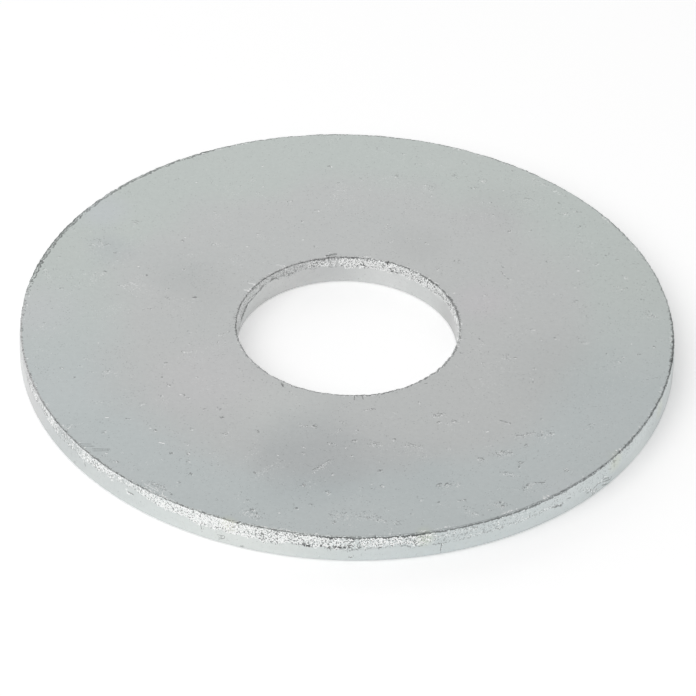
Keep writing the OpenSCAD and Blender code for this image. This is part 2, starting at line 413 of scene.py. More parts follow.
# Edges of the washer, as blanked and pierced: from the lower face up there are a rolled foot,
# a smooth land, a break line, a torn band that leans into the metal, and a blunt corner
rimEdge = {
    "columns": 1800,
    "rollWidth": 0.22,
    "rollHeight": 0.13,
    "landRows": 6,
    "bandRows": 11,
    # Each list from here to the fringe and the painted highlight goes round the rim: degrees, and the value
    # there.
    # The first says how far the torn band stands back at its top.
    "leans": [(-172, 0.01), (-150, 0), (-40, 0), (-18, 0.01), (20, 0.02), (110, 0.02), (124, 0), (165, 0)],
    # the torn band's height, how coarse its grain is, its dark specks (painted shade among its facets), and
    # the ledge at its foot
    "tornHeights": [
        (-172, 0.42), (-156, 0.4), (-145, 0.46), (-139, 0.56), (-134, 0.42), (-129, 0.34), (-122, 0.5),
        (-117, 0.46), (-111, 0.5), (-98, 0.56), (-84, 0.62), (-66, 0.58), (-50, 0.6), (-20, 0.5),
        (30, 0.42), (90, 0.38), (150, 0.46),
    ],
    "grains": [
        (-178, 0.35), (-168, 0.45), (-150, 0.68), (-138, 0.68), (-130, 0.72), (-122, 0.84), (-112, 0.95),
        (-90, 0.9), (-82, 0.6), (-74, 0.36), (-64, 0.3), (-50, 0.28), (-36, 0.15), (20, 0.3), (90, 0.5),
        (150, 0.5),
    ],
    "specks": [
        (-178, 0.35), (-168, 0.33), (-160, 0.32), (-150, 0.33), (-130, 0.27), (-112, 0.21), (-98, 0.38),
        (-82, 0.38), (-66, 0.3), (-50, 0.25), (-30, 0.22), (60, 0.2), (150, 0.22),
    ],
    "steps": [
        (-170, 0), (-104, 0), (-97, 0.008), (-84, 0.008), (-60, 0.004), (-48, 0.002), (-30, 0), (90, 0.006),
    ],
    # the blunt corner's reach over the upper face and down the wall
    "cornerWidths": [
        (-175, 0.08), (-160, 0.03), (-120, 0.012), (-95, 0.01), (-66, 0.01), (-54, 0.016), (-42, 0.03),
        (-30, 0.05), (-18, 0.05), (0, 0.06), (20, 0.05), (40, 0.04), (112, 0.05), (122, 0.12), (140, 0.14),
        (150, 0.18), (165, 0.18), (176, 0.12),
    ],
    "cornerHeights": [
        (-175, 0.05), (-150, 0.03), (-106, 0.03), (-98, 0.045), (-90, 0.072), (-72, 0.074), (-60, 0.072),
        (-48, 0.066), (-36, 0.065), (-20, 0.06), (20, 0.05), (90, 0.04), (118, 0.04), (130, 0.025),
        (165, 0.025),
    ],
    # painted shade at the foot of the corner, on its bend, and where it ends on the upper face, which draws
    # the corner's dark line
    "lowDirt": [
        (-175, 0.3), (-150, 0.25), (-130, 0.15), (-110, 0.15), (-100, 0.55), (-92, 1.15), (-84, 1.16),
        (-66, 1.15), (-54, 1.15), (-42, 0.95), (-30, 0.55), (-15, 0.6), (-4, 0.7), (4, 0.3), (22, 0.3),
        (60, 0.5), (110, 0.7), (120, 1.2), (160, 1.25), (168, 0.9), (176, 0.5),
    ],
    "middleDirt": [
        (-175, 0.4), (-150, 0.5), (-104, 0.7), (-94, 0.4), (-84, 0.25), (-60, 0.3), (-50, 0.6), (-40, 0.75),
        (-28, 0.55), (-20, 0.6), (-6, 1), (6, 0.6), (24, 0.7), (110, 0.8), (122, 0.6), (135, 0.5),
        (160, 0.45), (176, 0.3),
    ],
    "highDirt": [
        (-175, 0.5), (-160, 0.68), (-150, 0.8), (-138, 0.78), (-126, 0.88), (-112, 1.08), (-100, 1.15),
        (-92, 0.55), (-84, 0.1), (-50, 0.15), (-38, 0.4), (-20, 0.65), (-8, 0.95), (2, 0.8), (8, 0.55),
        (20, 0.65), (30, 0.8), (110, 0.85), (120, 1.1), (165, 1.05), (176, 0.6),
    ],
    # how far that painted shade spreads from there over the upper face
    "fringe": [
        (-170, 0.6), (-150, 0.5), (-104, 0.55), (-94, 0.2), (-84, 0.1), (-40, 0.25), (-20, 0.5), (-6, 1),
        (8, 0.3), (24, 0.5), (110, 0.6), (122, 0.7), (165, 0.6),
    ],
    # painted highlight at the foot of the corner, in bright flakes
    "shine": [
        (-170, 0.3), (-155, 0.55), (-140, 0.7), (-112, 0.9), (-95, 0.7), (-82, 0.3), (-60, 0.1), (90, 0.1),
    ],
    # degrees and length in millimetres of each chip out of the corner
    "chips": [
        (-107.3, 0.26), (-35, 0.22), (-2, 0.24), (3.8, 0.16), (13.5, 0.2), (-25.3, 0.16), (-84.2, 0.14),
        (119.5, 0.24), (123.3, 0.14), (138, 0.3), (142.2, 0.2), (151, 0.26), (178, 0.34), (-177.7, 0.2),
        (-169.8, 0.2),
    ],
    # dents: degrees, height, slope in degrees, length, width, depth, each darkened inside with painted
    # shade.
    # Past the sheet's thickness the height runs on over the upper face, from the end of the corner.
    "marks": [
        (-128.5, 0.68, -8, 0.4, 0.08, 0.03), (-139.7, 0.56, -75, 0.2, 0.06, 0.03),
        (-142.6, 0.26, 40, 0.2, 0.05, 0.01), (-113.8, 0.43, 80, 0.24, 0.04, 0.01),
        (-106.8, 0.15, -10, 0.24, 0.08, 0.03), (-50.6, 0.6, -12, 0.46, 0.08, 0.03),
        (-55.6, 0.66, 0, 0.3, 0.08, 0.012), (-62.9, 0.63, 0, 0.2, 0.06, 0.012),
        (-41.8, 0.46, 30, 0.3, 0.08, 0.006), (-38.6, 0.43, -35, 0.36, 0.1, 0.007),
        (-38.8, 0.2, -30, 0.4, 0.1, 0.007), (-36.6, 0.97, 0, 0.12, 0.07, 0.02),
        (-88.3, 0.24, 0, 0.1, 0.08, 0.02), (-110.3, 0.33, 0, 0.16, 0.1, 0.012),
        (-73, 0.34, 90, 0.3, 0.04, 0.008), (-92, 0.58, -5, 0.2, 0.08, 0.03),
        (-89.8, 0.68, 5, 0.34, 0.1, 0.035), (-86.9, 0.7, 0, 0.16, 0.1, 0.03),
        (-98, 0.7, 0, 0.14, 0.09, 0.02), (-95.6, 0.67, 0, 0.3, 0.08, 0.02),
        (-93.2, 0.7, 0, 0.12, 0.08, 0.02), (-91, 0.68, 0, 0.12, 0.08, 0.03),
        (-83.8, 0.66, 8, 0.2, 0.08, 0.02), (-45.7, 0.43, -40, 0.16, 0.05, 0.012),
        (-96, 1.26, 30, 0.1, 0.06, 0.01), (-62, 1.27, -10, 0.2, 0.05, 0.008),
        (-20, 1.26, 20, 0.2, 0.05, 0.01), (-50, 1.28, 60, 0.14, 0.05, 0.008),
        (-123.5, 1.27, -50, 0.2, 0.04, 0.006),
    ],
    # bright nicks painted as highlights on the plate, in the same way but without a depth
    "ticks": [
        (-122.3, 1.27, 60, 0.24, 0.09), (-121, 1.27, 60, 0.2, 0.08), (-124, 1.27, 20, 0.3, 0.08),
        (-128.6, 0.72, -5, 0.5, 0.05), (-128.6, 0.62, -5, 0.4, 0.04), (-132.7, 0.78, 20, 0.3, 0.08),
        (-135.4, 1.0, 0, 0.3, 0.1), (-140.4, 0.72, -60, 0.3, 0.08), (-125.6, 0.75, 0, 0.3, 0.08),
        (-53.5, 1.26, 90, 0.2, 0.09), (-52.6, 1.26, 90, 0.16, 0.08), (-34.5, 1.25, 60, 0.16, 0.08),
        (-76, 1.25, 20, 0.14, 0.08), (-94, 1.26, -30, 0.16, 0.08), (-105.5, 1.26, 10, 0.2, 0.08),
        (-115, 0.68, 0, 0.2, 0.05),
    ],
    # strewn specks, dark and bright: degrees, height, slope in degrees, length, width
    "hazes": [
        (-64, 0.66, 0, 2.8, 0.16), (-55.5, 0.69, 3, 1.8, 0.2), (-51, 0.64, -8, 1.1, 0.16),
        (-110.3, 0.33, 0, 0.34, 0.26), (-43, 0.45, -32, 1.3, 0.3), (-42, 0.14, 0, 0.7, 0.14),
        (-73, 0.3, 85, 0.6, 0.12), (-69.5, 0.95, 0, 1.6, 0.3), (-113.8, 0.43, 80, 0.4, 0.1),
        (-142.6, 0.26, 40, 0.3, 0.1), (-88.3, 0.24, 0, 0.24, 0.16),
    ],
    "seed": 7,
}
boreEdge = {
    "columns": 600,
    "rollWidth": 0.2,
    "rollHeight": 0.12,
    "landRows": 6,
    "bandRows": 9,
    "leans": [
        (0, 0.04), (12, 0.03), (30, 0.055), (45, 0.045), (60, 0.035), (75, 0.02), (90, 0.005), (118, 0),
        (170, 0), (-160, 0.04),
    ],
    "tornHeights": [
        (-176, 0.8), (-160, 0.4), (-90, 0.34), (-20, 0.3), (12, 0.3), (29, 0.3), (39, 0.27), (47, 0.38),
        (60, 0.34), (72, 0.38), (82, 0.4), (89, 0.48), (100, 0.42), (116, 0.4), (124, 0.37), (131, 0.27),
        (137, 0.29), (144, 0.36), (152, 0.45), (157, 0.46), (160, 0.6), (165, 0.7), (171, 0.9),
    ],
    "grains": [
        (-90, 0.4), (10, 0.9), (50, 1), (88, 1), (98, 0.72), (106, 0.5), (118, 0.2), (150, 0.14),
        (180, 0.2),
    ],
    "specks": [
        (-90, 0.2), (10, 0.24), (60, 0.29), (90, 0.33), (102, 0.34), (120, 0.45), (160, 0.5), (178, 0.4),
    ],
    "steps": [
        (-90, 0.004), (15, 0), (90, 0), (118, 0.002), (130, 0.01), (150, 0.012), (168, 0.016), (180, 0.01),
    ],
    "cornerWidths": [
        (0, 0.05), (20, 0.05), (45, 0.04), (60, 0.035), (100, 0.02), (150, 0.02), (170, 0.03), (-160, 0.06),
        (-100, 0.06), (-70, 0.1), (-50, 0.12), (-25, 0.12),
    ],
    "cornerHeights": [
        (0, 0.07), (30, 0.05), (50, 0.042), (90, 0.04), (100, 0.032), (142, 0.035), (152, 0.07),
        (165, 0.07), (-165, 0.05), (-100, 0.06), (-70, 0.09), (-20, 0.11),
    ],
    "lowDirt": [
        (-170, 0.45), (-150, 0.25), (-30, 0.4), (0, 0.5), (20, 0.7), (32, 0.6), (45, 0.55), (60, 0.5),
        (78, 0.6), (90, 0.75), (100, 0.45), (112, 0.55), (122, 0.6), (140, 0.5), (150, 0.7), (165, 0.5),
    ],
    "middleDirt": [
        (-170, 0.7), (-160, 0.6), (-150, 0.55), (-136, 0.8), (-20, 0.75), (0, 0.65), (20, 0.95), (50, 1.05),
        (70, 1.05), (90, 1), (105, 0.7), (120, 0.75), (150, 0.6),
    ],
    "highDirt": [
        (-170, 0.85), (-160, 0.6), (-150, 0.5), (-136, 0.8), (-90, 0.8), (-80, 0.95), (-50, 0.9),
        (-20, 0.75), (0, 0.7), (20, 1), (32, 1.05), (40, 0.9), (50, 1), (60, 0.9), (70, 1.05), (90, 1.05),
        (105, 0.7), (150, 0.65), (165, 0.5),
    ],
    "fringe": [(-160, 0.6), (-20, 0.8), (0, 0.6), (20, 0.8), (36, 0.5), (60, 0.6), (150, 0.5), (175, 0.4)],
    "shine": [(0, 0.3), (15, 0.6), (60, 0.4), (90, 0.3), (110, 0.15), (180, 0.1), (-90, 0.3)],
    "chips": [
        (69.5, 0.14), (24, 0.2), (-117.5, 0.16), (-61.1, 0.14), (-172, 0.16), (101, 0.16), (97.6, 0.12),
    ],
    "marks": [
        (67.5, 0.9, 42, 0.24, 0.06, 0.03), (82.4, 0.85, 39, 0.22, 0.06, 0.025),
        (49.4, 0.93, 0, 0.12, 0.06, 0.02), (156.4, 0.76, 10, 0.14, 0.08, 0.02),
        (164, 0.54, 40, 0.2, 0.08, 0.02), (148, 0.84, 10, 0.2, 0.07, 0.02),
    ],
    "ticks": [
        (152, 1.23, 90, 0.24, 0.09), (147.5, 1.28, 90, 0.2, 0.08), (125.5, 1.26, 95, 0.28, 0.09),
        (117, 1.17, 90, 0.16, 0.07), (109.3, 1.16, 85, 0.18, 0.07), (97, 1.14, 85, 0.18, 0.08),
        (28.3, 1.19, -50, 0.14, 0.06), (12, 0.98, -60, 0.24, 0.12), (17.6, 0.93, -60, 0.16, 0.08),
        (87.3, 0.82, -36, 0.33, 0.06), (133, 0.87, 10, 0.3, 0.05), (98, 0.86, -60, 0.2, 0.06),
        (107, 0.9, -60, 0.2, 0.06), (75, 0.84, -20, 0.26, 0.05),
    ],
    "hazes": [],
    "seed": 11,
}
edgeLook = {
    "footRows": 4,
    "cornerRows": 4,
    "topRows": 4,
    # how far the flat rows run in over the lower face and the upper one
    "guard": 0.05,
    "topGuard": 0.26,
    "breakHeight": 0.018,
    "ledgeShade": 0.62,  # the most painted shadow under the ledge
    "cornerGlow": (0.7, 0.4, 0, 0),  # share of the painted highlight, row by row up the corner
    "facets": [(0.35, 0.11, 0.1), (0.28, 0.07, 0.07)],  # share, width and height of two sizes
    "grainDepth": 0.032,
    "grainSwell": 0.12,  # the height over which the grain grows to its full depth
    "haze": 0.45,  # strength of the strewn specks
    "jag": 0.024,  # how far the corner strays sideways
    "chipReach": 0.1,
    "cornerGrain": 0.006,
    "raggedness": 0.07,  # how far the break line strays up and down
    "raggedReach": 0.2,  # the height over which the torn finish sets in
}


def ripple(rng, turns, cells):
    # smooth noise from -1 to 1 round a closed loop; turns runs from 0 to 1
    knots = rng.uniform(-1, 1, cells)
    place = turns % 1 * cells
    index = np.floor(place).astype(int)
    share = place - index
    share = share * share * (3 - 2 * share)
    return knots[index % cells] * (1 - share) + knots[(index + 1) % cells] * share


def mottle(rng, turns, heights, cells, cellHeight):
    # noise with flat facets, from -1 to 1, on the unrolled wall of an edge
    levels = int(np.ceil(heights.max() / cellHeight)) + 2
    knots = rng.uniform(-1, 1, (levels, cells))
    place = turns % 1 * cells
    index = np.floor(place).astype(int)
    share = place - index
    level = np.floor(heights / cellHeight).astype(int)
    rise = heights / cellHeight - level
    low = knots[level, index % cells] * (1 - share) + knots[level, (index + 1) % cells] * share
    high = knots[level + 1, index % cells] * (1 - share) + knots[level + 1, (index + 1) % cells] * share
    return low * (1 - rise) + high * rise


class Ring:
    # one edge: the angles round it, what its lists say there, and the noise that runs round it
    def __init__(self, edge, radius):
        self.edge = edge
        self.rng = np.random.default_rng(edge["seed"])
        self.turns = np.arange(edge["columns"]) / edge["columns"]
        self.degrees = self.turns * 360 - 180
        self.girth = 2 * math.pi * radius

    def given(self, name):
        places, values = zip(*self.edge[name])
        return np.interp(self.degrees, places, values, period=360)

    def rough(self, cell):
        return ripple(self.rng, self.turns, int(self.girth / cell))

    def arcFrom(self, place):
        # how far round the edge each angle lies from one place
        return ((self.degrees - place + 180) % 360 - 180) / 360 * self.girth

    def trace(self, run, place, level, slope, length, width):
        # a stroke on the unrolled edge, from 0 at its rim to 1 in its middle; run is each point's height
        arc = self.arcFrom(place)
        rise = run - level
        cos, sin = math.cos(math.radians(slope)), math.sin(math.radians(slope))
        along = arc * cos + rise * sin
        across = rise * cos - arc * sin
        found = np.clip(1 - np.abs(across) / (width / 2), 0, 1)
        found = np.minimum(found, np.clip(1 - (2 * along / length) ** 2, 0, 1))
        found[-1] = 0
        return found


def drawLines(ring):
    # where the parts of an edge end at each angle, and how much painted shade and painted highlight its
    # corner gets there
    given, rough = ring.given, ring.rough
    ragged = rough(0.9) + 0.8 * rough(0.3) + 0.6 * rough(0.12)
    breakLine = sheetThickness - (given("tornHeights") + edgeLook["raggedness"] * ragged)
    step = given("steps") * np.clip(1 + 1.3 * rough(0.3), 0, 2)
    nipped = np.clip(1 + 0.4 * rough(0.09) + 0.25 * rough(0.25), 0.35, 1.6)
    wide = given("cornerWidths") * nipped * (1 + 0.2 * rough(0.13))
    tall = given("cornerHeights") * nipped * (1 + 0.2 * rough(0.11))
    lowDirt = given("lowDirt") + 0.15 * rough(0.7) + 0.15 * rough(0.2)
    highDirt = given("highDirt") + 0.15 * rough(0.6) + 0.2 * rough(0.2) + 0.1 * rough(0.08)
    jag = edgeLook["jag"] * np.clip(rough(0.08) + 0.6 * rough(0.2), -1, 1)
    # each chip widens the corner and gets the full painted shade in its notch
    for place, length in ring.edge["chips"]:
        bite = np.clip(1 - np.abs(ring.arcFrom(place)) / (length / 2), 0, 1)
        wide = np.maximum(wide, bite * edgeLook["chipReach"])
        tall = np.maximum(tall, bite * edgeLook["chipReach"])
        lowDirt = np.maximum(lowDirt, bite)
    tall = tall + 0.4 * np.abs(jag)
    lean = given("leans") + 0.5 * (jag + edgeLook["jag"])
    wide = np.minimum(wide, edgeLook["topGuard"] - lean - 0.05)
    middleDirt = given("middleDirt") + 0.2 * rough(0.25) + 0.15 * rough(0.1)
    # painted glints on the upper face just past the corner's dark line
    glint = 0.75 * np.clip(rough(0.09) + rough(0.4) - 0.15, 0, 1)
    return {
        "breakLine": breakLine,
        "step": step,
        "lean": lean,
        "bandEnd": sheetThickness - tall,
        "tall": tall,
        "wide": wide,
        "dirts": (lowDirt, 0.7 * lowDirt + 0.3 * middleDirt, middleDirt, highDirt),
        "glint": glint,
    }


def layRows(ring, line):
    # the rows of points round an edge, from the lower face to the upper one: inset, height, torn, grime and
    # painted shade, and bright marks and painted highlight, each an array or a number
    edge, given = ring.edge, ring.given
    foot, breakLine, bandEnd, lean = edge["rollHeight"], line["breakLine"], line["bandEnd"], line["lean"]
    rows = [(edge["rollWidth"] + edgeLook["guard"], 0, 0, 0, 0)]
    for k in range(edgeLook["footRows"]):
        turn = math.pi / 2 * k / (edgeLook["footRows"] - 1)
        rows.append((edge["rollWidth"] * (1 - math.sin(turn)), foot * (1 - math.cos(turn)), 0, 0, 0))
    # painted shadow under the ledge, on the land's last row
    shade = np.clip(line["step"] * 60, 0, edgeLook["ledgeShade"])
    for k in range(1, edge["landRows"] + 1):
        height = foot + (breakLine - foot) * k / edge["landRows"]
        rows.append((0, height, 0, shade if k == edge["landRows"] else 0, 0))
    start = breakLine + edgeLook["breakHeight"]
    for k in range(edge["bandRows"] + 1):
        share = k / edge["bandRows"]
        height = start + (bandEnd - start) * share
        inset = line["step"] * max(0, 1 - k / 4) + lean * (height - breakLine) / (bandEnd - breakLine)
        specksAndShade = given("specks") if k < edge["bandRows"] else line["dirts"][0]
        rows.append((inset, height, 1, specksAndShade, given("shine") * max(0, 1 - 4 * abs(share - 0.92))))
    # the corner rows carry the painted shade of its dark line and part of its painted highlight
    for k, (specksAndShade, glow) in enumerate(zip(line["dirts"], edgeLook["cornerGlow"]), 1):
        turn = math.pi / 2 * k / edgeLook["cornerRows"]
        inset = lean + line["wide"] * (1 - math.cos(turn))
        rows.append((inset, bandEnd + line["tall"] * math.sin(turn), 0, specksAndShade, given("shine") * glow))
    edgeOfTop = lean + line["wide"]
    guardWidth = edgeLook["topGuard"] - edgeOfTop
    fringe = given("fringe")
    # on the upper face the corner's painted shade fades away from the edge, with painted glints among it
    for share, specksAndShade, glow in (
        (0.15, 0.3 + 0.7 * fringe, 0.3), (0.35, 0.6 * fringe, 1), (0.6, 0.1 * fringe, 0.6), (1, 0, 0),
    ):
        inset = edgeOfTop + guardWidth * share
        rows.append((inset, sheetThickness, 0, line["dirts"][-1] * specksAndShade, line["glint"] * glow))
    return rows


def makeEdge(edge, radius, side):
    # side is 1 at the rim, where the metal lies inside the radius, and -1 at the bore
    ring = Ring(edge, radius)
    line = drawLines(ring)
    rows = layRows(ring, line)
    inset, height, band, grime, shine = (
        np.array([np.broadcast_to(row[k], edge["columns"]) for row in rows], float) for k in range(5)
    )
    firstTop = len(rows) - edgeLook["topRows"]
    firstCorner = firstTop - edgeLook["cornerRows"]

    # the torn grain: facets that only ever go into the metal
    facets = 0
    for share, cell, cellHeight in edgeLook["facets"]:
        cells = int(ring.girth / cell)
        facets = facets + share * mottle(ring.rng, ring.turns, height, cells, cellHeight)
    facets = facets + ring.rng.uniform(-0.37, 0.37, height.shape)
    corner = slice(firstCorner, firstTop - 1)
    inset[corner] += edgeLook["cornerGrain"] * ring.rng.uniform(0, 1, inset[corner].shape)
    height[corner] -= edgeLook["cornerGrain"] * ring.rng.uniform(0, 1, inset[corner].shape)
    swell = np.clip((height - line["breakLine"]) / edgeLook["grainSwell"], 0, 1)
    uneven = 1 + 0.2 * ring.rough(2) + 0.3 * ring.rough(0.6) + 0.2 * ring.rough(0.25)
    grains = ring.given("grains") * np.clip(uneven, 0, 1.25)
    inset = inset + edgeLook["grainDepth"] * band * swell * (0.25 + 0.75 * grains) * (1 + facets) / 2

    # how torn the skin is fades over a little height, so that the finish can fray it
    fray = np.clip(0.5 + (height - line["breakLine"]) / edgeLook["raggedReach"], 0, 1)
    torn = fray * grains * (height <= line["bandEnd"] + 1e-9)

    # the marks that knocks left on the wall, and over the corner on the upper face
    onTop = np.arange(len(rows))[:, None] >= firstTop
    run = np.where(onTop, sheetThickness + inset - (line["lean"] + line["wide"]), height)
    for *where, depth in edge["marks"]:
        dent = ring.trace(run, *where)
        inset = inset + depth * dent * ~onTop
        height = height - depth * dent * onTop
        # painted shade inside each dent
        grime = np.maximum(grime, np.clip(dent * 1.6, 0, 0.85) * min(1, depth / 0.02))
    # painted highlight along each tick
    for where in edge["ticks"]:
        shine = np.maximum(shine, np.clip(1.8 * ring.trace(run, *where), 0, 0.9))
    for where in edge["hazes"]:
        found = edgeLook["haze"] * np.clip(2 * ring.trace(run, *where), 0, 1)
        grime = np.maximum(grime, found)
        shine = np.maximum(shine, found)

    distance = radius - side * inset
    radians = np.radians(ring.degrees)
    points = np.stack([distance * np.cos(radians), distance * np.sin(radians), height], -1)
    return {"points": points, "torn": torn, "grime": grime, "shine": shine}


